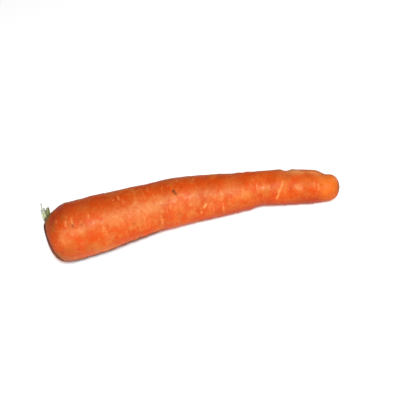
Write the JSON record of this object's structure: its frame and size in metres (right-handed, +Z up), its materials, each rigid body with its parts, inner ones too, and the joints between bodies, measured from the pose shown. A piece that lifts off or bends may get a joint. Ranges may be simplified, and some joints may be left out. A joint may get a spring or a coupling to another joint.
{
  "type": "carrot",
  "caption": "Topped carrot lying on its side: a long, gently bent orange root with blunt ends, faint cross creases and a small tuft of cut green leaf stalks.",
  "frame": {"origin": "centre of the underside of the carrot's bounding box, on the surface that it lies on", "axes": "+X from the crown to the tip, +Y across to the outer side of its bend, +Z up"},
  "size_m": [0.1872, 0.047, 0.0379],
  "materials": {
    "taproot": "moist carrot skin, orange, satin",
    "leaf_stubs": "dried green leaf stalk, matt"
  },
  "bodies": {
    "root": {"taproot": "taproot", "leaf_stubs": "leaf_stubs"}
  },
  "joints": []
}
